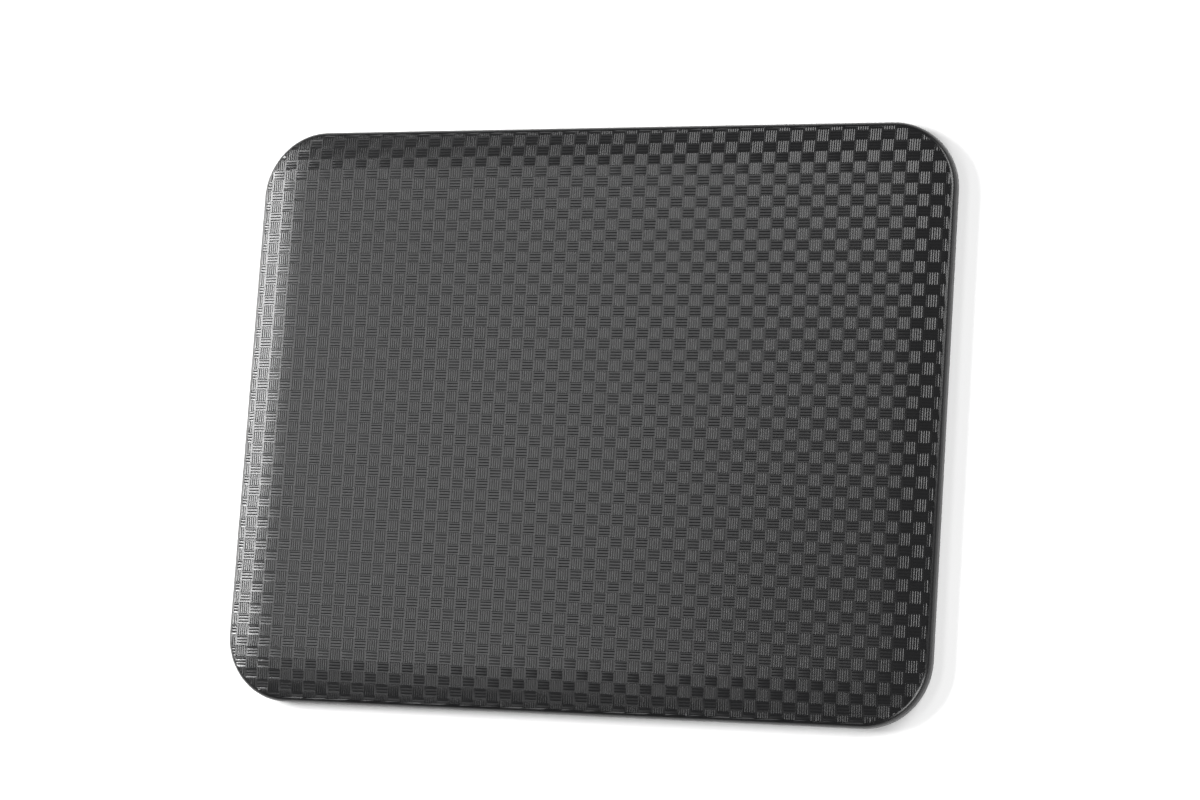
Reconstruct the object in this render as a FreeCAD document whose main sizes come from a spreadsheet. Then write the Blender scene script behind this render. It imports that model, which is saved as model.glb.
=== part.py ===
"""Cushioned door mat: an embossed skin wrapped round two layers of foam, on a studded rubber base.

The mat lies flat. +Z is up, X runs along the length and Y across the depth. The origin is on
the floor, under the middle of the mat. Every size is in millimetres, and slopes are in degrees.
"""
import FreeCAD, Part
import math
import os
import re

import Sketcher

# each size that can be set by itself: its value, and what it is
SIZES = {
    "mat_length": (610, "overall length, along X"),
    "mat_depth": (483, "overall depth, along Y"),
    "corner_bend": (55, "plan radius of the four corners"),
    "margin_width": (42, "sloping margin, from the side wall in to the flat of the top"),
    "margin_slope": (6, "slope of the margin, in degrees"),
    "crown_bend": (210, "radius that turns the margin into the flat of the top"),
    "rim_bend": (5.5, "radius between the margin and the side wall"),
    "foot_bend": (2.5, "radius between the side wall and the hem"),
    "skin": (1, "thickness of the cover"),
    "hem_width": (18, "width of the hem, turned in under the mat"),
    "glue": (0.1, "clearance that a glued joint leaves"),
    "comfort_height": (9.4, "thickness of the comfort foam, under the flat of the top"),
    "support_height": (4, "thickness of the support foam"),
    "felt_gap": (0.5, "gap between the stabiliser sheet and the hem round it"),
    "film": (0.3, "thickness of the bond film"),
    "film_inset": (9, "from the side wall in to the edge of the bond film"),
    "base_sheet": (1.2, "thickness of the rubber sheet, without its studs"),
    "base_inset": (6, "from the side wall in to the edge of the rubber sheet"),
    "base_edge": (0.4, "chamfer round the underside of the rubber sheet"),
    "stud_height": (0.8, "height of a grip stud"),
    "stud_width": (9, "diameter of a grip stud"),
    "stud_pitch": (24, "distance from stud to stud, both ways"),
    "stud_border": (8, "least distance from a stud to the edge of the rubber sheet"),
}

# what follows from those sizes: the layers' levels above the floor, where the rim's bend meets the
# side wall, and how many studs fit on each side of the middle
WORKED_OUT = {
    "base_top": "stud_height + base_sheet",
    "hem_level": "base_top + film",
    "foam_floor": "hem_level + skin + glue",
    "foam_split": "foam_floor + support_height",
    "mat_height": "foam_split + glue + comfort_height + glue + skin",
    "margin_run": "margin_width - crown_bend * sin(margin_slope * 1 deg)"
                  " - rim_bend * (1 - sin(margin_slope * 1 deg))",
    "rim_level": "mat_height - crown_bend * (1 - cos(margin_slope * 1 deg))"
                 " - margin_run * tan(margin_slope * 1 deg) - rim_bend * cos(margin_slope * 1 deg)",
    "studs_along": "floor((mat_length / 2 - base_inset - stud_border - stud_width / 2) / stud_pitch)",
    "studs_across": "floor((mat_depth / 2 - base_inset - stud_border - stud_width / 2) / stud_pitch)",
}

START, END, CENTRE = 1, 2, 3  # the two ends of a sketched edge, and the middle of an arc
AXES, ORIGIN = -1, (-1, 1)  # the sketch's horizontal axis, and the point where its axes cross


def fill_sheet(document):
    """Write the sizes, and what follows from them, into the spreadsheet that drives the model."""
    sheet = document.addObject("Spreadsheet::Sheet", "sizes")
    rows = [(name, str(value), meaning) for name, (value, meaning) in SIZES.items()]
    rows += [(name, "=" + formula, "worked out") for name, formula in WORKED_OUT.items()]
    for row, (name, content, meaning) in enumerate(rows, start=1):
        sheet.set(f"A{row}", meaning)
        sheet.set(f"B{row}", content)
        sheet.setAlias(f"B{row}", name)
    document.recompute()
    return sheet


def sized(formula):
    """Make each size's name in a formula read that size from the spreadsheet."""
    names = SIZES.keys() | WORKED_OUT.keys()
    return re.sub(r"[a-z_]+", lambda word: "sizes." + word[0] if word[0] in names else word[0], formula)


def start_body(document, name):
    """Start a sub-part. Its label is the name of its file."""
    body = document.addObject("PartDesign::Body", name)
    body.Label = name
    body.Placement = FreeCAD.Placement()
    return body


def start_sketch(body, name, role, level="0"):
    """Start a sketch on one of the body's origin planes, raised from it to a level."""
    sketch = body.newObject("Sketcher::SketchObject", name)
    sketch.AttachmentSupport = (next(item for item in body.Origin.OriginFeatures if item.Role == role), [""])
    sketch.MapMode = "FlatFace"
    sketch.setExpression("AttachmentOffset.Base.z", sized(level))
    return sketch


def line(start, end):
    """A straight edge between two points."""
    return Part.LineSegment(FreeCAD.Vector(*start, 0), FreeCAD.Vector(*end, 0))


def arc(centre, radius, first, last):
    """A round edge, anticlockwise from the first angle to the last, in degrees."""
    circle = Part.Circle(FreeCAD.Vector(*centre, 0), FreeCAD.Vector(0, 0, 1), radius)
    return Part.ArcOfCircle(circle, math.radians(first), math.radians(last))


def draw_chain(sketch, edges, corners):
    """Draw a closed chain of edges, smooth at every joint but those after the edges in corners."""
    sketch.addGeometry(edges, False)
    for index in range(len(edges)):
        following = (index + 1) % len(edges)
        pairs = [(mine, other) for mine in (START, END) for other in (START, END)]
        mine, other = min(pairs, key=lambda pair: sketch.getPoint(index, pair[0]).distanceToPoint(
            sketch.getPoint(following, pair[1])))
        kind = "Coincident" if index in corners else "Tangent"
        sketch.addConstraint(Sketcher.Constraint(kind, index, mine, following, other))


def constrain(sketch, kind, *edges):
    """Give each of the edges the same kind of constraint."""
    for edge in edges:
        places = edge if isinstance(edge, tuple) else (edge,)
        sketch.addConstraint(Sketcher.Constraint(kind, *places))


def dimension(sketch, name, kind, places, value, formula):
    """Add a named dimension that starts at a value and is bound to a formula of the sizes."""
    index = sketch.addConstraint(Sketcher.Constraint(kind, *places, value))
    sketch.renameConstraint(index, name)
    sketch.setExpression(f"Constraints.{name}", sized(formula))


def draw_outline(body, name, level, inset):
    """Sketch the mat's rounded rectangle, set in from the side wall, starting at the right middle."""
    sketch = start_sketch(body, name, "XY_Plane", level)
    x, y, bend = 300, 240, 50  # a first drawing, which the dimensions below resize
    draw_chain(sketch, [
        line((x, 0), (x, y - bend)),
        arc((x - bend, y - bend), bend, 0, 90),
        line((x - bend, y), (bend - x, y)),
        arc((bend - x, y - bend), bend, 90, 180),
        line((-x, y - bend), (-x, bend - y)),
        arc((bend - x, bend - y), bend, 180, 270),
        line((bend - x, -y), (x - bend, -y)),
        arc((x - bend, bend - y), bend, 270, 360),
        line((x, bend - y), (x, 0)),
    ], corners=(8,))
    constrain(sketch, "Vertical", 0, 4, 8)
    constrain(sketch, "Horizontal", 2, 6)
    constrain(sketch, "Equal", (1, 3), (1, 5), (1, 7))
    constrain(sketch, "Symmetric", (2, START, 6, START, *ORIGIN))
    constrain(sketch, "PointOnObject", (0, START, AXES))
    dimension(sketch, "half_length", "DistanceX", (*ORIGIN, 0, START), x, f"mat_length / 2 - ({inset})")
    dimension(sketch, "half_depth", "DistanceY", (*ORIGIN, 2, START), y, f"mat_depth / 2 - ({inset})")
    dimension(sketch, "bend", "Radius", (1,), bend, f"corner_bend - ({inset})")
    return sketch


def pad(body, name, sketch, height):
    """Raise a sketch into a slab of a height."""
    feature = body.newObject("PartDesign::Pad", name)
    feature.Profile = sketch
    feature.setExpression("Length", sized(height))
    return feature


def sweep_margin(body, profile, inset):
    """Sweep a section of the margin round the mat's outline."""
    path = draw_outline(body, body.Label + "_path", "0", inset)
    feature = body.newObject("PartDesign::AdditivePipe", body.Label + "_margin")
    feature.Profile = profile
    feature.Spine = (path, [])
    return feature


def margin_edges(sheet, inset):
    """The rim arc, sloping line and crown arc of the margin, at a depth under the outer surface."""
    slope = math.radians(sheet.margin_slope)
    rim = (sheet.mat_length / 2 - sheet.rim_bend, sheet.rim_level)
    crown = (sheet.mat_length / 2 - sheet.margin_width, sheet.mat_height - sheet.crown_bend)
    rim_bend, crown_bend = sheet.rim_bend - inset, sheet.crown_bend - inset
    ends = [(x + bend * math.sin(slope), level + bend * math.cos(slope))
            for (x, level), bend in ((rim, rim_bend), (crown, crown_bend))]
    lean = 90 - sheet.margin_slope
    return [arc(rim, rim_bend, 0, lean), line(*ends), arc(crown, crown_bend, lean, 90)]


def make_top_cover(document, sheet):
    """The moulded skin: flat top, sloping margin, side wall, and the hem turned in underneath."""
    body = start_body(document, "top_cover")
    section = start_sketch(body, "cover_section", "XZ_Plane")
    wall, top, skin, foot = sheet.mat_length / 2, sheet.mat_height, sheet.skin, sheet.foot_bend
    hem, hem_end, rim = sheet.hem_level, wall - sheet.hem_width, sheet.rim_level
    inner = wall - sheet.margin_width
    draw_chain(section, [
        line((hem_end, hem), (wall - foot, hem)),
        arc((wall - foot, hem + foot), foot, -90, 0),
        line((wall, hem + foot), (wall, rim)),
        *margin_edges(sheet, 0),
        line((inner, top), (inner, top - skin)),
        *reversed(margin_edges(sheet, skin)),
        line((wall - skin, rim), (wall - skin, hem + foot)),
        arc((wall - foot, hem + foot), foot - skin, -90, 0),
        line((wall - foot, hem + skin), (hem_end, hem + skin)),
        line((hem_end, hem + skin), (hem_end, hem)),
    ], corners=(5, 6, 12, 13))
    constrain(section, "Horizontal", 0, 12)
    constrain(section, "Vertical", 2, 6, 10, 13, (5, CENTRE, 5, END))
    constrain(section, "Coincident", (1, CENTRE, 11, CENTRE), (3, CENTRE, 9, CENTRE), (5, CENTRE, 7, CENTRE))
    constrain(section, "Parallel", (4, 8))
    dimension(section, "half_length", "DistanceX", (*ORIGIN, 2, START), wall, "mat_length / 2")
    dimension(section, "top", "DistanceY", (*ORIGIN, 5, END), top, "mat_height")
    dimension(section, "hem", "DistanceY", (*ORIGIN, 0, START), hem, "hem_level")
    dimension(section, "hem_width", "DistanceX", (0, START, 2, START), sheet.hem_width, "hem_width")
    dimension(section, "margin", "DistanceX", (5, END, 2, START), sheet.margin_width, "margin_width")
    dimension(section, "slope", "Angle", (4,), math.radians(180 - sheet.margin_slope),
              "(180 - margin_slope) * 1 deg")
    dimension(section, "foot", "Radius", (1,), foot, "foot_bend")
    dimension(section, "rim", "Radius", (3,), sheet.rim_bend, "rim_bend")
    dimension(section, "crown", "Radius", (5,), sheet.crown_bend, "crown_bend")
    dimension(section, "skin", "DistanceY", (6, END, 6, START), skin, "skin")
    sweep_margin(body, section, "0")
    field = draw_outline(body, "cover_field", "mat_height - skin", "margin_width")
    pad(body, "cover_top", field, "skin")
    return body


def make_comfort_foam(document, sheet):
    """The soft upper foam. Its top follows the underside of the cover, a glued joint away."""
    body = start_body(document, "comfort_foam")
    section = start_sketch(body, "foam_section", "XZ_Plane")
    inset = sheet.skin + sheet.glue
    wall, top = sheet.mat_length / 2 - inset, sheet.mat_height - inset
    inner, floor = sheet.mat_length / 2 - sheet.margin_width, sheet.foam_split + sheet.glue
    draw_chain(section, [
        line((inner, floor), (wall, floor)),
        line((wall, floor), (wall, sheet.rim_level)),
        *margin_edges(sheet, inset),
        line((inner, top), (inner, floor)),
    ], corners=(0, 4, 5))
    constrain(section, "Horizontal", 0)
    constrain(section, "Vertical", 1, 5, (4, CENTRE, 4, END))
    dimension(section, "half_length", "DistanceX", (*ORIGIN, 1, START), wall, "mat_length / 2 - skin - glue")
    dimension(section, "top", "DistanceY", (*ORIGIN, 4, END), top, "mat_height - skin - glue")
    dimension(section, "floor", "DistanceY", (*ORIGIN, 0, START), floor, "foam_split + glue")
    dimension(section, "margin", "DistanceX", (4, END, 1, START), wall - inner, "margin_width - skin - glue")
    dimension(section, "slope", "Angle", (3,), math.radians(180 - sheet.margin_slope),
              "(180 - margin_slope) * 1 deg")
    dimension(section, "rim", "Radius", (2,), sheet.rim_bend - inset, "rim_bend - skin - glue")
    dimension(section, "crown", "Radius", (4,), sheet.crown_bend - inset, "crown_bend - skin - glue")
    sweep_margin(body, section, "skin + glue")
    field = draw_outline(body, "foam_field", "foam_split + glue", "margin_width")
    pad(body, "foam_middle", field, "comfort_height")
    return body


def edges_at(shape, level):
    """Names of a shape's edges that lie at one level."""
    close = 1e-6
    return [f"Edge{number}" for number, edge in enumerate(shape.Edges, start=1)
            if abs(edge.BoundBox.ZMin - level) < close and abs(edge.BoundBox.ZMax - level) < close]


def make_support_foam(document, sheet):
    """The firm lower foam. Its bottom edge is rounded to sit in the bend of the cover's hem."""
    body = start_body(document, "support_foam")
    outline = draw_outline(body, "support_outline", "foam_floor", "skin + glue")
    slab = pad(body, "support_slab", outline, "support_height")
    document.recompute()
    bend = body.newObject("PartDesign::Fillet", "support_bend")
    bend.Base = (slab, edges_at(slab.Shape, sheet.foam_floor))
    bend.setExpression("Radius", sized("foot_bend - skin - glue"))
    return body


def make_sheet(document, name, level, height, inset):
    """A flat sheet of the mat's outline, from a level up, set in from the side wall."""
    body = start_body(document, name)
    pad(body, name + "_slab", draw_outline(body, name + "_outline", level, inset), height)
    return body


def make_non_slip_base(document, sheet):
    """The rubber sheet that the mat stands on, with its rows of round grip studs."""
    body = make_sheet(document, "non_slip_base", "stud_height", "base_sheet", "base_inset")
    slab = body.Tip
    document.recompute()
    edge = body.newObject("PartDesign::Chamfer", "base_chamfer")
    edge.Base = (slab, edges_at(slab.Shape, sheet.stud_height))
    edge.setExpression("Size", sized("base_edge"))

    circle = start_sketch(body, "stud_circle", "XY_Plane")
    centre = FreeCAD.Vector(-sheet.studs_along * sheet.stud_pitch, -sheet.studs_across * sheet.stud_pitch, 0)
    circle.addGeometry(Part.Circle(centre, FreeCAD.Vector(0, 0, 1), sheet.stud_width / 2), False)
    dimension(circle, "width", "Diameter", (0,), sheet.stud_width, "stud_width")
    dimension(circle, "along", "DistanceX", (0, CENTRE, *ORIGIN), -centre.x, "studs_along * stud_pitch")
    dimension(circle, "across", "DistanceY", (0, CENTRE, *ORIGIN), -centre.y, "studs_across * stud_pitch")
    stud = pad(body, "stud", circle, "stud_height")

    rows = body.newObject("PartDesign::LinearPattern", "stud_rows")
    rows.Originals = [stud]
    rows.Direction = (circle, ["H_Axis"])
    rows.Direction2 = (circle, ["V_Axis"])
    for second, studs in (("", "studs_along"), ("2", "studs_across")):
        rows.setExpression("Occurrences" + second, sized(f"2 * {studs} + 1"))
        rows.setExpression("Length" + second, sized(f"2 * {studs} * stud_pitch"))
    body.Tip = rows
    return body


def check(document, bodies):
    """Stop if anything in the document failed, or a sub-part isn't one sound solid."""
    for item in document.Objects:
        if "Invalid" in item.State or "Error" in item.State:
            raise RuntimeError(f"{item.Label} failed: {item.State}")
    for body in bodies:
        if body.Shape.isNull() or not body.Shape.isValid() or len(body.Shape.Solids) != 1:
            raise RuntimeError(f"{body.Label} is not one valid solid")


def main():
    """Build every sub-part, check them all, and write one STEP file for each."""
    document = FreeCAD.newDocument("door_mat")
    sheet = fill_sheet(document)
    bodies = [
        make_top_cover(document, sheet),
        make_comfort_foam(document, sheet),
        make_support_foam(document, sheet),
        make_sheet(document, "stabiliser_sheet", "hem_level", "skin", "hem_width + felt_gap"),
        make_sheet(document, "bond_film", "base_top", "film", "film_inset"),
        make_non_slip_base(document, sheet),
    ]
    document.recompute()
    check(document, bodies)
    os.makedirs("parts", exist_ok=True)
    for body in bodies:
        box = body.Shape.BoundBox
        print(f"{body.Label}: {box.XLength:.2f} x {box.YLength:.2f} x {box.ZMin:.2f} to {box.ZMax:.2f},"
              f" {body.Shape.Volume / 1000:.1f} cm3")
        body.Shape.exportStep(f"parts/{body.Label}.step")


main()
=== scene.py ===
"""Looks of a cushioned door mat: its embossed skin, foam, felt, glue film and studded rubber base.

Lengths are in millimetres inside the classes and become metres when a mesh is written. The mat
lies flat, +Z up, with its middle over the origin.
"""
import logging
import math
from dataclasses import dataclass, field
from typing import Callable, Iterable, Sequence

import bpy
import numpy as np
from mathutils import Matrix, Vector


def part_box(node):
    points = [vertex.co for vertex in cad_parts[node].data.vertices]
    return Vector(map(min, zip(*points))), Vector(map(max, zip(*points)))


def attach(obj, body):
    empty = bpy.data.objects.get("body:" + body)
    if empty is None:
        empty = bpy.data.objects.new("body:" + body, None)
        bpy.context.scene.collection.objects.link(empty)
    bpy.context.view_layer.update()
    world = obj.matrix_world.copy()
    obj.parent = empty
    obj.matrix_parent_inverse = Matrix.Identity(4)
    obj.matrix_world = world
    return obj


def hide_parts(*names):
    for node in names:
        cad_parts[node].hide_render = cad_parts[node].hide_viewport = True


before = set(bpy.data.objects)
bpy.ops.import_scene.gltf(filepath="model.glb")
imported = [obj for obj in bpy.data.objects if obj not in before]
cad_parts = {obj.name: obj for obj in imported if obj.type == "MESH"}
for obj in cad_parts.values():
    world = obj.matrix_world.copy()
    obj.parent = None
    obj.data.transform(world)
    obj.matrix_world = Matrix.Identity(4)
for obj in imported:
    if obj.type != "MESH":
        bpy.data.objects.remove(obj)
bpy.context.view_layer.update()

MM = 0.001
BODY = "root"
LOG = logging.getLogger("door_mat")

CORNER_STEPS = 20         # pieces that a rounded corner of the outline is divided into
SIDE_STEPS = (22, 28)     # pieces of the right and left sides, and of the front and back
WHOLE_SIDES = (1, 1)      # sides left undivided
ON_FENCE = 1e-6           # a point this near to a straight fence lies on it
CUT_EDGE_ANGLE = 40.0     # edges of foam, felt, film and rubber that turn by more degrees stay crisp

Point = tuple[float, float]
Spot = tuple[float, float, float]
Fence = tuple[Point, Point]
Loop = list[int]


# ---------------------------------------------------------------- measures read from the frame

def node_box(node: str) -> tuple[np.ndarray, np.ndarray]:
    """Find where a CAD node lies.

    Args:
        node: the node's name.

    Returns:
        Its lowest and highest corners, in millimetres.
    """
    low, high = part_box(node)
    return np.array(low) / MM, np.array(high) / MM


@dataclass(frozen=True)
class Outline:
    """The mat's rounded rectangle in plan, in millimetres."""

    half_length: float
    half_depth: float
    bend: float

    def inward(self, x: float, y: float) -> float:
        """Measure how far a point lies inside the outline.

        Args:
            x: place along the mat.
            y: place across the mat.

        Returns:
            The distance in from the outline, negative outside it.
        """
        over_x = abs(x) - (self.half_length - self.bend)
        over_y = abs(y) - (self.half_depth - self.bend)
        outside = math.hypot(max(over_x, 0.0), max(over_y, 0.0))
        return self.bend - outside - min(max(over_x, over_y), 0.0)

    def loop(self, inset: float, side_steps: tuple[int, int] = SIDE_STEPS) -> list[Point]:
        """Walk round the outline, anticlockwise from the lower end of its right side.

        Args:
            inset: how far inside the outline the loop runs.
            side_steps: pieces of the right and left sides, and of the other two sides.

        Returns:
            The loop's points.
        """
        across, along = side_steps
        corners = ((1, -1, across), (1, 1, along), (-1, 1, across), (-1, -1, along))
        radius = self.bend - inset
        arcs: list[list[Point]] = []
        for number, (side_x, side_y, _) in enumerate(corners):
            centre_x = side_x * (self.half_length - self.bend)
            centre_y = side_y * (self.half_depth - self.bend)
            first = math.pi / 2 * (number - 1)
            turns = [first + math.pi / 2 * step / CORNER_STEPS for step in range(CORNER_STEPS + 1)]
            arcs.append([(centre_x + radius * math.cos(turn), centre_y + radius * math.sin(turn))
                         for turn in turns])
        points: list[Point] = []
        for number, (_, _, steps) in enumerate(corners):
            start, end = arcs[number][-1], arcs[(number + 1) % 4][0]
            run_x, run_y = end[0] - start[0], end[1] - start[1]
            points += arcs[number]
            points += [(start[0] + run_x * step / steps, start[1] + run_y * step / steps)
                       for step in range(1, steps)]
        return points


@dataclass(frozen=True)
class Section:
    """The cover's upright section: how high it is at each distance in from the side wall."""

    top: float
    hem: float
    margin_width: float = 42.0
    margin_slope: float = math.radians(6.0)
    crown_bend: float = 210.0
    rim_bend: float = 5.5
    foot_bend: float = 2.5
    hem_width: float = 18.0

    @property
    def rim_inset(self) -> float:
        """How far in from the side wall the margin meets the rim's bend."""
        return self.rim_bend * (1 - math.sin(self.margin_slope))

    @property
    def rim_level(self) -> float:
        """The level at which the side wall meets the rim's bend."""
        return self.height(self.rim_inset) - self.rim_bend * math.cos(self.margin_slope)

    def height(self, inset: float) -> float:
        """Give the smooth top's level.

        Args:
            inset: distance in from the side wall.

        Returns:
            The level above the floor.
        """
        slope, bend = self.margin_slope, self.crown_bend
        if inset < self.rim_inset:
            return self.rim_level + math.sqrt(self.rim_bend ** 2 - (self.rim_bend - inset) ** 2)
        from_flat = self.margin_width - inset
        if from_flat <= 0:
            return self.top
        curved = bend * math.sin(slope)
        if from_flat <= curved:
            return self.top - bend + math.sqrt(bend ** 2 - from_flat ** 2)
        return self.top - bend * (1 - math.cos(slope)) - (from_flat - curved) * math.tan(slope)

    def rim(self, depth: float, steps: int) -> list[Point]:
        """Follow the rim's bend from the margin down to the side wall.

        Args:
            depth: distance under the outer surface.
            steps: pieces that the bend is divided into.

        Returns:
            (inset, level) pairs.
        """
        return bend_points((self.rim_bend, self.rim_level), self.rim_bend - depth,
                           math.pi / 2 - self.margin_slope, 0.0, steps)

    def foot(self, depth: float, steps: int) -> list[Point]:
        """Follow the foot's bend from the side wall down to the hem.

        Args:
            depth: distance under the outer surface.
            steps: pieces that the bend is divided into.

        Returns:
            (inset, level) pairs.
        """
        return bend_points((self.foot_bend, self.hem + self.foot_bend), self.foot_bend - depth,
                           0.0, -math.pi / 2, steps)

    def margin(self, depth: float, steps: int) -> list[Point]:
        """Follow the underside of the margin from the flat down to the rim.

        Args:
            depth: distance under the outer surface.
            steps: pieces that the margin is divided into.

        Returns:
            (inset, level) pairs, the rim's end left out.
        """
        end = self.rim_bend - (self.rim_bend - depth) * math.sin(self.margin_slope)
        insets = [self.margin_width + (end - self.margin_width) * step / steps for step in range(steps)]
        return [(inset, self.height(inset) - depth) for inset in insets]


def bend_points(centre: Point, radius: float, first: float, last: float, steps: int) -> list[Point]:
    """Place points round a bend of the section.

    Args:
        centre: (inset, level) of the bend's centre.
        radius: the bend's radius.
        first: angle above the horizontal that it starts at.
        last: angle that it ends at.
        steps: pieces that it is divided into.

    Returns:
        (inset, level) pairs.
    """
    inset, level = centre
    angles = [first + (last - first) * step / steps for step in range(steps + 1)]
    return [(inset - radius * math.cos(angle), level + radius * math.sin(angle)) for angle in angles]


# ---------------------------------------------------------------- meshes

@dataclass
class Draft:
    """A mesh being drawn. Points that fall together are one vertex."""

    name: str
    spots: list[Spot] = field(default_factory=list)
    faces: list[Loop] = field(default_factory=list)
    known: dict[tuple[int, int, int], int] = field(default_factory=dict)

    GRID = 1000.0  # points closer than a micrometre are one

    def spot(self, x: float, y: float, z: float) -> int:
        """Add a point, or find the one that is there already.

        Args:
            x: place along the mat.
            y: place across the mat.
            z: level.

        Returns:
            The vertex's number.
        """
        key = (round(x * self.GRID), round(y * self.GRID), round(z * self.GRID))
        if key not in self.known:
            self.known[key] = len(self.spots)
            self.spots.append((x, y, z))
        return self.known[key]

    def face(self, corners: Sequence[int], flip: bool = False) -> None:
        """Add a face, without corners that fall together.

        Args:
            corners: vertex numbers, anticlockwise seen from outside.
            flip: turn the face over.
        """
        kept = [corner for place, corner in enumerate(corners) if corner != corners[place - 1]]
        if len(set(kept)) > 2:
            self.faces.append(kept[::-1] if flip else kept)

    def loop(self, points: Iterable[Point], level: float) -> Loop:
        """Add a level loop of points.

        Args:
            points: their places in plan.
            level: their level.

        Returns:
            The vertices' numbers.
        """
        return [self.spot(x, y, level) for x, y in points]

    def band(self, upper: Loop, lower: Loop) -> None:
        """Join two loops of as many vertices, the outside being below the upper loop."""
        for place in range(len(upper)):
            before = place - 1
            self.face([upper[before], lower[before], lower[place], upper[place]])

    def zip(self, fine: Loop, coarse: Loop, flip: bool = False) -> None:
        """Join two loops of different numbers of vertices with triangles.

        Args:
            fine: the inner loop.
            coarse: the outer loop.
            flip: turn the faces over.
        """
        def bearing(vertex: int) -> float:
            return math.atan2(self.spots[vertex][1], self.spots[vertex][0])

        inner, outer = sorted(fine, key=bearing), sorted(coarse, key=bearing)
        inner_at, outer_at = 0, 0
        while inner_at < len(inner) or outer_at < len(outer):
            here_in, here_out = inner[inner_at % len(inner)], outer[outer_at % len(outer)]
            next_in, next_out = inner[(inner_at + 1) % len(inner)], outer[(outer_at + 1) % len(outer)]
            in_turn = bearing(next_in) + (math.tau if inner_at + 1 >= len(inner) else 0)
            out_turn = bearing(next_out) + (math.tau if outer_at + 1 >= len(outer) else 0)
            if outer_at >= len(outer) or (inner_at < len(inner) and in_turn < out_turn):
                self.face([here_in, here_out, next_in], flip)
                inner_at += 1
            else:
                self.face([here_in, here_out, next_out], flip)
                outer_at += 1

    def write(self, sharp_angle: float) -> bpy.types.Object:
        """Turn the drawing into an object.

        Args:
            sharp_angle: edges that turn by more than this stay crisp, in degrees.

        Returns:
            The new object, linked to the scene.
        """
        mesh = bpy.data.meshes.new(self.name)
        mesh.from_pydata([tuple(value * MM for value in spot) for spot in self.spots], [], self.faces)
        mesh.shade_smooth()
        mesh.set_sharp_from_angle(angle=math.radians(sharp_angle))
        mesh.validate()
        piece = bpy.data.objects.new(self.name, mesh)
        bpy.context.scene.collection.objects.link(piece)
        return piece


def depth_inside(x: float, y: float, fence: Fence) -> float:
    """Measure how far inside a fence a place lies.

    Args:
        x: place along the mat.
        y: place across the mat.
        fence: a point on the fence, and its inward direction.

    Returns:
        The distance, negative outside.
    """
    start, inward = fence
    return (x - start[0]) * inward[0] + (y - start[1]) * inward[1]


def clip(polygon: list[Spot], fences: Sequence[Fence]) -> list[Spot]:
    """Cut away what lies outside a few straight fences.

    Args:
        polygon: the corners, each with its height.
        fences: the fences to cut along.

    Returns:
        The corners of what is left, or an empty list.
    """
    for fence in fences:
        depths = [depth_inside(x, y, fence) for x, y, _ in polygon]
        kept: list[Spot] = []
        for place, depth in enumerate(depths):
            before, spot, last = depths[place - 1], polygon[place], polygon[place - 1]
            if (depth < 0) != (before < 0):
                share = before / (before - depth)
                kept.append(tuple(a + (b - a) * share for a, b in zip(last, spot)))
            if depth >= 0:
                kept.append(spot)
        polygon = kept
    return polygon


def fill_with_tiles(draft: Draft, border: list[Point], tile_size: Point, phase: Point,
                    tile_faces: Callable[[int, int], list[list[Spot]]],
                    level: Callable[[float, float], float], flip: bool = False) -> Loop:
    """Fill a convex border with a repeating pattern, cut off where the border crosses it.

    Args:
        draft: where the faces go.
        border: the border's corners, anticlockwise, round the origin.
        tile_size: the tile's size along the mat and across it.
        phase: where the middle of tile (0, 0) is.
        tile_faces: gives the faces of a tile by its column and row, from the tile's middle.
        level: the pattern's ground level at a place.
        flip: turn the faces over, for an underside.

    Returns:
        The vertices that lie on the border.
    """
    fences: list[Fence] = []
    for start, end in zip(border, border[1:] + border[:1]):
        length = math.dist(start, end)
        fences.append((start, ((start[1] - end[1]) / length, (end[0] - start[0]) / length)))
    reach_x, reach_y = max(x for x, _ in border), max(y for _, y in border)
    columns = math.ceil(reach_x / tile_size[0]) + 1
    rows = math.ceil(reach_y / tile_size[1]) + 1
    on_border: set[int] = set()
    for column in range(-columns, columns + 1):
        for row in range(-rows, rows + 1):
            middle = phase[0] + column * tile_size[0], phase[1] + row * tile_size[1]
            corners = [(middle[0] + side_x * tile_size[0] / 2, middle[1] + side_y * tile_size[1] / 2)
                       for side_x in (-1, 1) for side_y in (-1, 1)]
            depths = [[depth_inside(*corner, fence) for corner in corners] for fence in fences]
            if any(max(corner_depths) <= 0 for corner_depths in depths):
                continue
            crossed = [fence for fence, corner_depths in zip(fences, depths) if min(corner_depths) < 0]
            for shape in tile_faces(column, row):
                placed = [(x + middle[0], y + middle[1], rise) for x, y, rise in shape]
                kept = clip(placed, crossed) if crossed else placed
                vertices = [draft.spot(x, y, level(x, y) + rise) for x, y, rise in kept]
                draft.face(vertices, flip)
                for (x, y, _), vertex in zip(kept, vertices):
                    if any(abs(depth_inside(x, y, fence)) < ON_FENCE for fence in crossed):
                        on_border.add(vertex)
    used = {vertex for face in draft.faces for vertex in face}
    return [vertex for vertex in on_border if vertex in used]


# ---------------------------------------------------------------- materials

def linear(code: str) -> tuple[float, float, float, float]:
    """Turn an sRGB hex colour into the linear colour that shaders use.

    Args:
        code: six hex digits, with or without a leading #.

    Returns:
        Linear red, green, blue, and an alpha of 1.
    """
    digits = code.lstrip("#")
    values = [int(digits[place:place + 2], 16) / 255 for place in (0, 2, 4)]
    red, green, blue = [v / 12.92 if v <= 0.04045 else ((v + 0.055) / 1.055) ** 2.4 for v in values]
    return red, green, blue, 1.0


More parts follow.
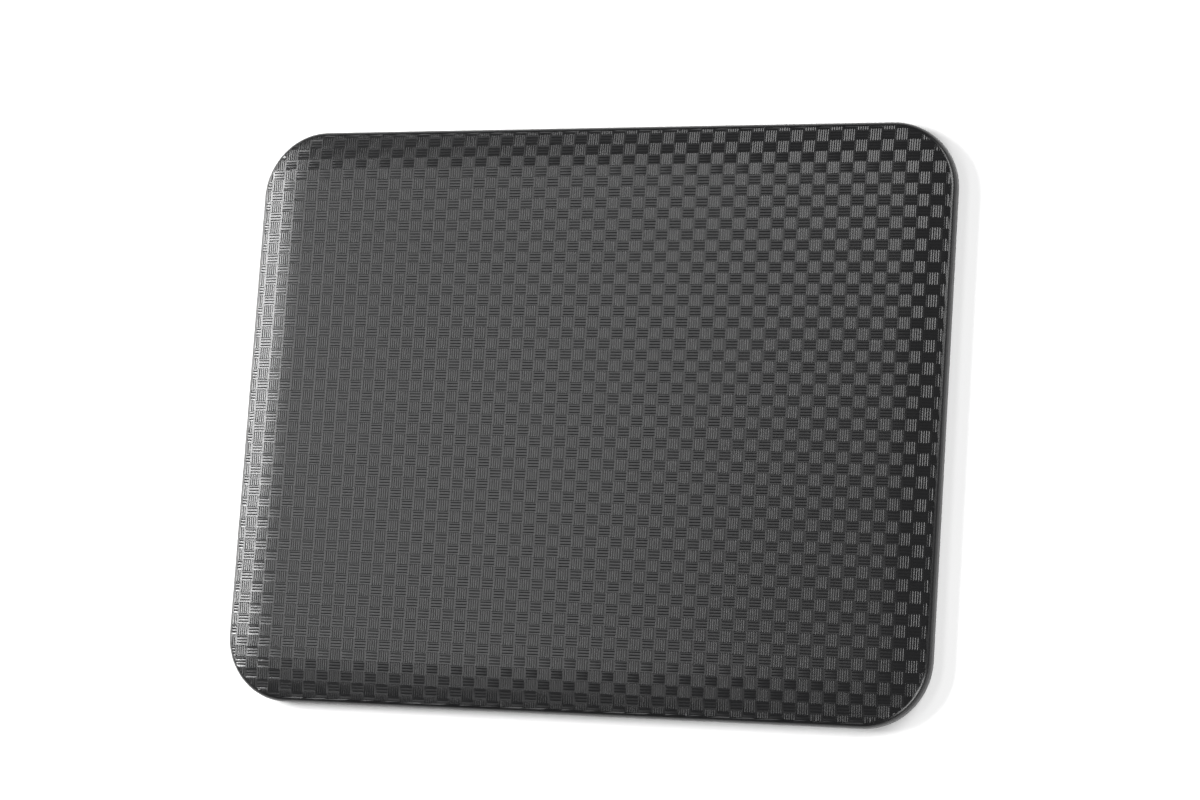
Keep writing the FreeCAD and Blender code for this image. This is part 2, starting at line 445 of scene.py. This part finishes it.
def add_node(tree: bpy.types.NodeTree, kind: str, settings: dict | None = None,
             **inputs: object) -> bpy.types.Node:
    """Add a shader node.

    Args:
        tree: the material's nodes.
        kind: the node's type, without its ShaderNode prefix.
        settings: the node's own properties.
        inputs: sockets by name, spaces as underscores, or by number, as i6: an output or a value.

    Returns:
        The node.
    """
    node = tree.nodes.new("ShaderNode" + kind)
    for name, value in (settings or {}).items():
        setattr(node, name, value)
    for name, value in inputs.items():
        numbered = name[0] == "i" and name[1:].isdigit()
        socket = node.inputs[int(name[1:]) if numbered else name.replace("_", " ")]
        if isinstance(value, bpy.types.NodeSocket):
            tree.links.new(value, socket)
        else:
            socket.default_value = value
    return node


def start_material(name: str) -> tuple[bpy.types.Material, bpy.types.NodeTree, bpy.types.NodeSocket]:
    """Start a material with only an output, and a place in metres to draw its patterns by.

    Args:
        name: the material's name.

    Returns:
        The material, its nodes, and the socket that gives each point's place in metres.
    """
    material = bpy.data.materials.new(name)
    material.use_nodes = True
    material.node_tree.nodes.clear()
    place = add_node(material.node_tree, "TexCoord")
    return material, material.node_tree, place.outputs["Object"]


def finish_material(tree: bpy.types.NodeTree, shader: bpy.types.Node) -> None:
    """Join a shader to the material's output."""
    add_node(tree, "OutputMaterial", Surface=shader.outputs[0])


@dataclass(frozen=True)
class MouldedPolyurethane:
    """Polyurethane skin cast in a spark-eroded mould: near black, satin, with a fine even grain."""

    colour: str = "#0f0f10"
    # painted sheen: the slightly lighter colour of the glossier cloudy patches
    painted_sheen: str = "#131314"
    roughness: float = 0.29
    roughness_spread: Point = (-0.03, 0.05)
    grain_mm: float = 0.45    # real spark pits are under 0.1 mm: drawn coarser, so that they show
    grain_depth_mm: float = 0.012
    mottle_mm: float = 9.0

    def make(self) -> bpy.types.Material:
        """Build the material."""
        material, tree, place = start_material("moulded_polyurethane_skin")
        # the mould's sparks leave pits that soften each highlight into a sheen
        pits = add_node(tree, "TexNoise", Vector=place, Scale=1 / (self.grain_mm * MM), Detail=3.0,
                        Roughness=0.6)
        # release agent and handling leave cloudy patches a little glossier than the rest; their gloss
        # is drawn as painted sheen, a slightly lighter colour mixed in over the clouds
        clouds = add_node(tree, "TexNoise", Vector=place, Scale=1 / (self.mottle_mm * MM), Detail=2.0)
        tone = add_node(tree, "Mix", {"data_type": "RGBA"}, Factor=clouds.outputs["Fac"],
                        i6=linear(self.colour), i7=linear(self.painted_sheen))
        smoother, rougher = self.roughness_spread
        gloss = add_node(tree, "MapRange", Value=pits.outputs["Fac"], From_Min=0.3, From_Max=0.7,
                         To_Min=self.roughness + smoother, To_Max=self.roughness + rougher)
        bump = add_node(tree, "Bump", Height=pits.outputs["Fac"], Distance=self.grain_depth_mm * MM,
                        Strength=0.5)
        shader = add_node(tree, "BsdfPrincipled", Base_Color=tone.outputs[2],
                          Roughness=gloss.outputs["Result"], Normal=bump.outputs["Normal"], IOR=1.5)
        finish_material(tree, shader)
        return material


@dataclass(frozen=True)
class FlexibleFoam:
    """Open-cell polyurethane foam, cut from a block: matt, pitted with small dark cells."""

    name: str
    colour: str
    cell_mm: float            # drawn a little coarser than the real cells, so that it shows
    pit_depth_mm: float = 0.3

    def make(self) -> bpy.types.Material:
        """Build the material."""
        material, tree, place = start_material(self.name)
        cells = add_node(tree, "TexVoronoi", Vector=place, Scale=1 / (self.cell_mm * MM))
        # each cut cell is a pit that holds shade, so the foam looks speckled close to
        shade = add_node(tree, "MapRange", Value=cells.outputs["Distance"], From_Max=0.6, To_Min=0.55,
                         To_Max=1.0)
        tone = add_node(tree, "Mix", {"data_type": "RGBA", "blend_type": "MULTIPLY"}, Factor=1.0,
                        i6=linear(self.colour), i7=shade.outputs["Result"])
        bump = add_node(tree, "Bump", Height=cells.outputs["Distance"],
                        Distance=self.pit_depth_mm * MM, Strength=0.8)
        shader = add_node(tree, "BsdfPrincipled", Base_Color=tone.outputs[2], Roughness=0.9,
                          Normal=bump.outputs["Normal"])
        finish_material(tree, shader)
        return material


@dataclass(frozen=True)
class NeedledFelt:
    """Polyester felt, needled: matt grey, with short fibres lying every way."""

    colour: str = "#6b6b68"
    fibre: str = "#8d8c88"
    fibre_mm: float = 0.5     # real fibres are about 0.03 mm: drawn coarser, so that they show
    fibres_per_width: float = 0.3
    fibre_stretch: float = 7.0
    nap_mm: float = 0.2

    def make(self) -> bpy.types.Material:
        """Build the material."""
        material, tree, place = start_material("needled_polyester_felt")
        # stretched noise in two directions reads as crossed fibres
        stretches = ((1.0, self.fibre_stretch, 1.0), (self.fibre_stretch, 1.0, 1.0))
        ways = [add_node(tree, "Mapping", Vector=place, Scale=stretch) for stretch in stretches]
        fibres = [add_node(tree, "TexNoise", Vector=way.outputs["Vector"],
                           Scale=self.fibres_per_width / (self.fibre_mm * MM), Detail=4.0)
                  for way in ways]
        mat = add_node(tree, "Math", {"operation": "MAXIMUM"}, i0=fibres[0].outputs["Fac"],
                       i1=fibres[1].outputs["Fac"])
        tone = add_node(tree, "Mix", {"data_type": "RGBA"}, Factor=mat.outputs["Value"],
                        i6=linear(self.colour), i7=linear(self.fibre))
        bump = add_node(tree, "Bump", Height=mat.outputs["Value"], Distance=self.nap_mm * MM,
                        Strength=0.7)
        shader = add_node(tree, "BsdfPrincipled", Base_Color=tone.outputs[2], Roughness=0.95,
                          Normal=bump.outputs["Normal"], Sheen_Weight=0.3)
        finish_material(tree, shader)
        return material


@dataclass(frozen=True)
class HotMeltFilm:
    """Hot-melt glue film, rolled on warm: amber, waxy, with faint flow ripples."""

    colour: str = "#b9a77c"
    pooled: str = "#9c8757"
    ripple_mm: float = 12.0
    ripple_depth_mm: float = 0.1

    def make(self) -> bpy.types.Material:
        """Build the material."""
        material, tree, place = start_material("hot_melt_film")
        # the film flows as it melts, and lies thicker and browner where it pools
        ripples = add_node(tree, "TexNoise", Vector=place, Scale=1 / (self.ripple_mm * MM), Detail=2.0,
                           Distortion=0.6)
        tone = add_node(tree, "Mix", {"data_type": "RGBA"}, Factor=ripples.outputs["Fac"],
                        i6=linear(self.colour), i7=linear(self.pooled))
        bump = add_node(tree, "Bump", Height=ripples.outputs["Fac"], Distance=self.ripple_depth_mm * MM,
                        Strength=0.4)
        shader = add_node(tree, "BsdfPrincipled", Base_Color=tone.outputs[2], Roughness=0.35,
                          Normal=bump.outputs["Normal"])
        finish_material(tree, shader)
        return material


@dataclass(frozen=True)
class MouldedRubber:
    """Styrene-butadiene rubber sheet, pressed in a blasted mould: matt black, with a pale bloom."""

    colour: str = "#1d1d1e"
    bloom: str = "#3a3a39"
    bloom_mm: float = 35.0
    pebble_mm: float = 0.9    # a blasted mould's grain is under 0.3 mm: drawn coarser, so that it shows
    pebble_depth_mm: float = 0.12

    def make(self) -> bpy.types.Material:
        """Build the material."""
        material, tree, place = start_material("moulded_rubber")
        # the mould's blasted grain breaks up every reflection, so the rubber looks dull
        pebbles = add_node(tree, "TexVoronoi", {"feature": "SMOOTH_F1"}, Vector=place,
                           Scale=1 / (self.pebble_mm * MM))
        # rubber chemicals come to the surface as a pale cloudy bloom
        bloom = add_node(tree, "TexNoise", Vector=place, Scale=1 / (self.bloom_mm * MM), Detail=5.0,
                         Roughness=0.6)
        share = add_node(tree, "MapRange", Value=bloom.outputs["Fac"], From_Min=0.4, From_Max=0.8,
                         To_Max=0.5)
        tone = add_node(tree, "Mix", {"data_type": "RGBA"}, Factor=share.outputs["Result"],
                        i6=linear(self.colour), i7=linear(self.bloom))
        bump = add_node(tree, "Bump", Height=pebbles.outputs["Distance"],
                        Distance=self.pebble_depth_mm * MM, Strength=0.6)
        shader = add_node(tree, "BsdfPrincipled", Base_Color=tone.outputs[2], Roughness=0.72,
                          Normal=bump.outputs["Normal"])
        finish_material(tree, shader)
        return material


@dataclass(frozen=True)
class StudioPaper:
    """White background paper, uncoated: matt, with a faint tooth."""

    colour: str = "#f4f4f4"
    tooth_mm: float = 1.5     # paper's real tooth is under 0.5 mm: drawn coarser, so that it shows
    tooth_depth_mm: float = 0.02

    def make(self) -> bpy.types.Material:
        """Build the material."""
        material, tree, place = start_material("studio_paper")
        # the tooth keeps the lights from mirroring in the floor
        tooth = add_node(tree, "TexNoise", Vector=place, Scale=1 / (self.tooth_mm * MM), Detail=3.0)
        bump = add_node(tree, "Bump", Height=tooth.outputs["Fac"], Distance=self.tooth_depth_mm * MM,
                        Strength=0.2)
        shader = add_node(tree, "BsdfPrincipled", Base_Color=linear(self.colour), Roughness=0.9,
                          Specular_IOR_Level=0.2, Normal=bump.outputs["Normal"])
        finish_material(tree, shader)
        return material


# ---------------------------------------------------------------- the mat's pieces

@dataclass(frozen=True)
class BasketWeave:
    """The pressed pattern: blocks of flat-topped ribs across the mat, and blocks of grooves along it.

    The two kinds take turns, as on a draughts board. Corners and rises are measured from the middle
    of a block, whose ground is at rise 0.
    """

    block: Point = (11.0, 9.0)
    ribs: int = 5
    rib_pitch: float = 1.97
    rib_rise: float = 0.3
    shoulder: float = 0.5           # how far a rib's flank runs out
    first_shoulder: float = 0.33    # the block's first flank is steeper, beside the grooved block
    rib_overlap: float = 0.5
    grooves: tuple[float, ...] = (-2.45, 0.0, 2.45)
    groove_width: float = 1.2
    groove_depth: float = 0.33
    groove_ends: Point = (-4.64, 5.16)
    groove_slope: float = 0.22

    def profile(self) -> list[Point]:
        """Draw the ribs' section as (place, rise), from the block's left edge to the last foot."""
        left = -self.block[0] / 2
        points = [(left, 0.0)]
        for rib in range(self.ribs):
            start, end = left + rib * self.rib_pitch, left + (rib + 1) * self.rib_pitch
            lead = self.shoulder if rib else self.first_shoulder
            points += [(start + lead, self.rib_rise), (end - self.shoulder, self.rib_rise), (end, 0.0)]
        return points

    def ribbed(self) -> list[list[Spot]]:
        """Draw a block of ribs, which run over the block's whole depth and on into the next blocks."""
        side, half = self.block[0] / 2, self.block[1] / 2
        end, profile = half - self.rib_overlap, self.profile()
        shapes = [
            [(x, -half, rise), (next_x, -half, next_rise), (next_x, half, next_rise), (x, half, rise)]
            for (x, rise), (next_x, next_rise) in zip(profile, profile[1:])
        ]
        foot = profile[-1][0]
        strip = [(foot, -half), (side, -half), (side, -end), (side, end), (side, half), (foot, half)]
        return [*shapes, [(*corner, 0.0) for corner in strip]]

    def rib_ends(self) -> list[list[Spot]]:
        """Draw the ends of the ribs that come in over a grooved block's lower edge."""
        half, profile = self.block[1] / 2, self.profile()
        end = self.rib_overlap - half
        shapes: list[list[Spot]] = []
        for rib in range(self.ribs):
            section = profile[3 * rib:3 * rib + 4]
            start, finish = (section[0][0], end, 0.0), (section[-1][0], end, 0.0)
            edge = [(x, -half, rise) for x, rise in section]
            shapes += [
                [edge[0], edge[1], start],
                [edge[1], edge[2], finish, start],
                [edge[2], edge[3], finish],
            ]
        return shapes

    def grooved(self) -> list[list[Spot]]:
        """Draw a block of grooves, with the ends of its neighbours' ribs."""
        side, half, profile = self.block[0] / 2, self.block[1] / 2, self.profile()
        end, width = half - self.rib_overlap, self.groove_width / 2
        left, right = self.groove_ends
        lips = [lip for middle in self.grooves for lip in (middle - width, middle + width)]
        feet = [x for x, _ in profile[::3]]
        lower = [
            [*((x, -end) for x in feet), (right, lips[0]), (left, lips[0])],
            [(feet[-1], -half), (side, -half), (right, lips[0]), (feet[-1], -end)],
        ]
        upper = [[(x, -y) for x, y in reversed(flat)] for flat in lower]
        flats = [
            *lower, *upper,
            [(-side, -end), *((left, lip) for lip in lips), (-side, end)],
            [(side, half), *((right, lip) for lip in reversed(lips)), (side, -half)],
            *([(left, near), (right, near), (right, far), (left, far)]
              for near, far in zip(lips[1::2], lips[2::2])),
        ]
        shapes = [[(*corner, 0.0) for corner in flat] for flat in flats]
        for middle in self.grooves:
            near, far = middle - width, middle + width
            low = (left + self.groove_slope, middle, -self.groove_depth)
            high = (right - self.groove_slope, middle, -self.groove_depth)
            shapes += [
                [(left, near, 0.0), (right, near, 0.0), high, low],
                [low, high, (right, far, 0.0), (left, far, 0.0)],
                [(left, far, 0.0), (left, near, 0.0), low],
                [(right, near, 0.0), (right, far, 0.0), high],
            ]
        ends = self.rib_ends()
        return shapes + ends + [[(x, -y, rise) for x, y, rise in reversed(shape)] for shape in ends]


@dataclass
class TopCover:
    """The moulded skin: embossed top, smooth rim and side wall, and the hem turned in underneath."""

    outline: Outline
    section: Section
    weave: BasketWeave = BasketWeave()
    skin: float = 1.0
    phase: Point = (-5.0, 5.58)   # the middle of the block at column 0, row 0
    emboss_border: float = 4.0
    emboss_sunk: float = 0.15
    emboss_fade: float = 0.7      # the strip that eases up from the emboss to the smooth rim
    crisp_angle: float = 29.5     # keeps the ribs' flanks crisp and the grooves' shallow lips soft

    def ground(self, x: float, y: float) -> float:
        """Give the level of the pattern's ground, pressed in under the smooth surface."""
        return self.section.height(self.outline.inward(x, y)) - self.emboss_sunk

    def build(self) -> bpy.types.Object:
        """Build the closed skin, its emboss included."""
        draft = Draft("top_cover_skin")
        ribbed, grooved = self.weave.ribbed(), self.weave.grooved()
        section, outline, skin = self.section, self.outline, self.skin
        emboss_edge = fill_with_tiles(
            draft, outline.loop(self.emboss_border, WHOLE_SIDES), self.weave.block, self.phase,
            lambda column, row: ribbed if (column - row) % 2 else grooved, self.ground)
        rim = section.rim(depth=0.0, steps=16)
        path = [
            *(point for point in rim if point[0] < self.emboss_border - self.emboss_fade),
            *section.foot(depth=0.0, steps=6),
            (section.hem_width, section.hem),
            (section.hem_width, section.hem + skin),
            *section.foot(skin, steps=4)[::-1],
            *section.rim(skin, steps=5)[::-1],
            *section.margin(skin, steps=8)[::-1],
        ]
        loops = [draft.loop(outline.loop(inset), level) for inset, level in path]
        draft.zip(emboss_edge, loops[0])
        for upper, lower in zip(loops, loops[1:]):
            draft.band(upper, lower)
        draft.face(loops[-1][::-1])
        return draft.write(self.crisp_angle)


@dataclass
class Slab:
    """A closed layer of the mat's outline, drawn as level loops from its top face to its bottom."""

    name: str
    outline: Outline
    path: list[Point]

    def build(self) -> bpy.types.Object:
        """Build the layer."""
        draft = Draft(self.name)
        loops = [draft.loop(self.outline.loop(inset), level) for inset, level in self.path]
        draft.face(loops[0])
        for upper, lower in zip(loops, loops[1:]):
            draft.band(upper, lower)
        draft.face(loops[-1][::-1])
        return draft.write(CUT_EDGE_ANGLE)


@dataclass
class NonSlipBase:
    """The rubber sheet with its rows of grip studs, each with a rounded rim and a dished tip."""

    outline: Outline
    top: float
    sheet: float = 1.2
    inset: float = 6.0
    chamfer: float = 0.4
    pitch: float = 24.0
    studs_along: int = 11
    studs_across: int = 9
    stud_sides: int = 24
    # (radius, rise from the sheet's underside), from the foot of a stud to its middle
    stud_rings: tuple[Point, ...] = (
        (4.5, 0.0), (4.05, 0.5), (3.85, 0.7), (3.5, 0.8), (2.9, 0.8), (2.4, 0.55),
    )
    stud_middle: float = 0.5

    def tile(self, column: int, row: int) -> list[list[Spot]]:
        """Draw one tile of the underside, with its stud if it has one.

        Args:
            column: place along the mat, 0 in the middle.
            row: place across the mat, 0 in the middle.

        Returns:
            The tile's faces, seen from above, with their rise towards the floor.
        """
        half, sides = self.pitch / 2, self.stud_sides
        corners = [(half, half, 0.0), (-half, half, 0.0), (-half, -half, 0.0), (half, -half, 0.0)]
        if abs(column) > self.studs_along or abs(row) > self.studs_across:
            return [corners]
        turns = [math.tau * step / sides for step in range(sides)]
        rings = [[(radius * math.cos(turn), radius * math.sin(turn), -rise) for turn in turns]
                 for radius, rise in self.stud_rings]
        quarter, eighth = sides // 4, sides // 8
        shapes = []
        for place in range(4):
            first = eighth + place * quarter
            ring_part = [rings[0][(first + step) % sides] for step in range(quarter + 1)]
            shapes.append([corners[place], corners[(place + 1) % 4], *reversed(ring_part)])
        for outer, inner in zip(rings, rings[1:]):
            shapes += [[outer[step - 1], outer[step], inner[step], inner[step - 1]]
                       for step in range(sides)]
        middle = (0.0, 0.0, -self.stud_middle)
        shapes += [[rings[-1][step - 1], rings[-1][step], middle] for step in range(sides)]
        return shapes

    def build(self) -> bpy.types.Object:
        """Build the sheet and its studs as one closed rubber piece."""
        draft = Draft("non_slip_base_rubber")
        underside = self.top - self.sheet
        border = self.outline.loop(self.inset + self.chamfer, WHOLE_SIDES)
        edge = fill_with_tiles(draft, border, (self.pitch, self.pitch), (0.0, 0.0), self.tile,
                               lambda x, y: underside, flip=True)
        path = [(self.inset, underside + self.chamfer), (self.inset, self.top)]
        loops = [draft.loop(self.outline.loop(inset), level) for inset, level in path]
        draft.zip(edge, loops[0], flip=True)
        draft.band(loops[1], loops[0])
        draft.face(loops[1])
        return draft.write(CUT_EDGE_ANGLE)


@dataclass
class DoorMat:
    """The whole mat, built layer by layer in the places that the frame's nodes hold."""

    corner_bend: float = 55.0
    edge_rounding: float = 0.25
    outline: Outline = field(init=False)
    section: Section = field(init=False)

    def __post_init__(self) -> None:
        """Read the outline and the section's levels from the frame."""
        low, high = node_box("top_cover")
        self.outline = Outline(high[0], high[1], self.corner_bend)
        self.section = Section(top=high[2], hem=low[2])

    def inset(self, node: str) -> float:
        """Give how far a node's edge lies inside the mat's side wall."""
        return self.outline.half_length - node_box(node)[1][0]

    def sheet_path(self, node: str) -> list[Point]:
        """Give the section of a flat sheet whose cut edge is very slightly rounded."""
        low, high = node_box(node)
        inset, top, foot = self.inset(node), high[2], low[2]
        ease = min(self.edge_rounding, (top - foot) / 3)
        return [(inset + ease, top), (inset, top - ease), (inset, foot + ease), (inset + ease, foot)]

    def make_cover(self) -> bpy.types.Object:
        """Build the embossed skin."""
        cover = TopCover(self.outline, self.section).build()
        return self.place(cover, "top_cover", "cover_skin", MouldedPolyurethane().make())

    def make_comfort_foam(self) -> bpy.types.Object:
        """Build the soft layer, whose top follows the underside of the skin."""
        low, _ = node_box("comfort_foam")
        depth = self.inset("comfort_foam")
        section = self.section
        path = [*section.margin(depth, steps=10), *section.rim(depth, steps=6), (depth, low[2])]
        foam = Slab("comfort_foam_layer", self.outline, path).build()
        finish = FlexibleFoam("soft_polyurethane_foam", "#c9ccce", cell_mm=0.9)
        return self.place(foam, "comfort_foam", "soft_foam", finish.make())

    def make_support_foam(self) -> bpy.types.Object:
        """Build the firm layer, rounded underneath to sit in the bend of the hem."""
        _, high = node_box("support_foam")
        depth = self.inset("support_foam")
        path = [(depth, high[2]), *self.section.foot(depth, steps=5)]
        foam = Slab("support_foam_layer", self.outline, path).build()
        finish = FlexibleFoam("firm_polyurethane_foam", "#3f4143", cell_mm=0.6)
        return self.place(foam, "support_foam", "firm_foam", finish.make())

    def make_stabiliser(self) -> bpy.types.Object:
        """Build the felt sheet that lies inside the hem."""
        felt = Slab("stabiliser_felt", self.outline, self.sheet_path("stabiliser_sheet")).build()
        return self.place(felt, "stabiliser_sheet", "felt", NeedledFelt().make())

    def make_bond_film(self) -> bpy.types.Object:
        """Build the glue film between the base and the layers above."""
        film = Slab("bond_film_layer", self.outline, self.sheet_path("bond_film")).build()
        return self.place(film, "bond_film", "hot_melt", HotMeltFilm().make())

    def make_base(self) -> bpy.types.Object:
        """Build the studded rubber sheet."""
        _, high = node_box("non_slip_base")
        base = NonSlipBase(self.outline, high[2], inset=self.inset("non_slip_base")).build()
        return self.place(base, "non_slip_base", "base_rubber", MouldedRubber().make())

    def place(self, piece: bpy.types.Object, node: str, slot: str,
              material: bpy.types.Material) -> bpy.types.Object:
        """Dress a piece and tie it to the frame.

        Args:
            piece: the new object.
            node: the CAD node that it stands for.
            slot: a material slot's name; not used.
            material: its finish.

        Returns:
            The piece.
        """
        piece.data.materials.append(material)
        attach(piece, BODY)
        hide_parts(node)
        return piece

    def build(self) -> None:
        cover, comfort, support = self.make_cover(), self.make_comfort_foam(), self.make_support_foam()
        felt, film, base = self.make_stabiliser(), self.make_bond_film(), self.make_base()
        corner = self.corner_bend - self.inset("stabiliser_sheet")
        for piece in (cover, comfort, support, felt, film, base):
            size = piece.dimensions / MM
            LOG.info("%s: %.1f x %.1f x %.1f mm, %d faces", piece.name, *size, len(piece.data.polygons))


# ---------------------------------------------------------------- the studio

@dataclass(frozen=True)
class Softbox:
    """A rectangular soft light aimed at the middle of the mat: degrees, metres and watts."""

    name: str
    azimuth: float
    elevation: float
    width: float
    height: float
    power: float
    distance: float = 2.2

    def build(self) -> bpy.types.Object:
        """Hang the light."""
        light = bpy.data.lights.new(self.name, "AREA")
        light.shape = "RECTANGLE"
        light.size, light.size_y, light.energy = self.width, self.height, self.power
        lamp = bpy.data.objects.new(self.name, light)
        bpy.context.scene.collection.objects.link(lamp)
        direction = bearing_vector(self.azimuth, self.elevation)
        lamp.location = direction * self.distance
        lamp.rotation_euler = direction.to_track_quat("Z", "Y").to_euler()
        return lamp


def bearing_vector(azimuth: float, elevation: float) -> Vector:
    """Point from the mat towards a place in the studio.

    Args:
        azimuth: degrees round from the mat's front edge, towards its right side.
        elevation: degrees above the floor.

    Returns:
        A vector of length 1.
    """
    turn, rise = math.radians(azimuth), math.radians(elevation)
    return Vector((math.sin(turn) * math.cos(rise), -math.cos(turn) * math.cos(rise), math.sin(rise)))


@dataclass(frozen=True)
class Studio:
    """White paper floor, softboxes at the left, fills at the right, and the camera.

    Sizes and places here are in metres and degrees.
    """

    floor_size: float = 14.0
    surround: str = "#595959"
    camera_azimuth: float = 69.38
    camera_elevation: float = 66.81
    camera_roll: float = -67.08
    camera_distance: float = 2.8753
    camera_aim: Spot = (0.01705, 0.01361, 0.018)
    lens_mm: float = 106.39
    sensor_mm: float = 36.0
    softboxes: tuple[Softbox, ...] = (
        Softbox("low_window", azimuth=-100, elevation=12.5, width=1.3, height=0.85, power=27),
        Softbox("key_softbox", azimuth=-101, elevation=38, width=1.1, height=0.36, power=64),
        Softbox("top_strip", azimuth=-103, elevation=66, width=1.5, height=0.55, power=7.8),
        Softbox("back_fill", azimuth=125, elevation=34, width=1.4, height=0.5, power=27),
        Softbox("front_fill", azimuth=50, elevation=34, width=1.4, height=0.5, power=28),
    )

    def make_floor(self) -> None:
        """Lay the paper."""
        half = self.floor_size / 2
        mesh = bpy.data.meshes.new("studio_floor")
        mesh.from_pydata([(-half, -half, 0), (half, -half, 0), (half, half, 0), (-half, half, 0)], [],
                         [(0, 1, 2, 3)])
        floor = bpy.data.objects.new("studio_floor", mesh)
        bpy.context.scene.collection.objects.link(floor)
        floor.data.materials.append(StudioPaper().make())

    def make_lights(self) -> None:
        """Hang the lights, and give the room an even dim surround."""
        for softbox in self.softboxes:
            softbox.build()
        world = bpy.data.worlds.new("studio_room")
        bpy.context.scene.world = world
        world.use_nodes = True
        world.node_tree.nodes["Background"].inputs["Color"].default_value = linear(self.surround)

    def make_camera(self) -> None:
        """Set up the camera, turned on its own axis so that the mat's front edge is at the bottom."""
        data = bpy.data.cameras.new("camera")
        data.lens, data.sensor_width = self.lens_mm, self.sensor_mm
        camera = bpy.data.objects.new("camera", data)
        bpy.context.scene.collection.objects.link(camera)
        back = bearing_vector(self.camera_azimuth, self.camera_elevation)
        right = Vector((0, 0, 1)).cross(back).normalized()
        level = Matrix((right, back.cross(right), back)).transposed().to_4x4()
        roll = Matrix.Rotation(math.radians(self.camera_roll), 4, "Z")
        place = Vector(self.camera_aim) + back * self.camera_distance
        camera.matrix_world = Matrix.Translation(place) @ (level @ roll)
        bpy.context.scene.camera = camera

    def build(self) -> None:
        """Set up the whole studio."""
        self.make_floor()
        self.make_lights()
        self.make_camera()
        bpy.context.scene.view_settings.view_transform = "Standard"


def main() -> None:
    """Set up the studio, build the mat, and note its size."""
    logging.basicConfig(level=logging.INFO, format="%(name)s: %(message)s")
    Studio().build()
    DoorMat().build()


if __name__ == "__main__":
    main()
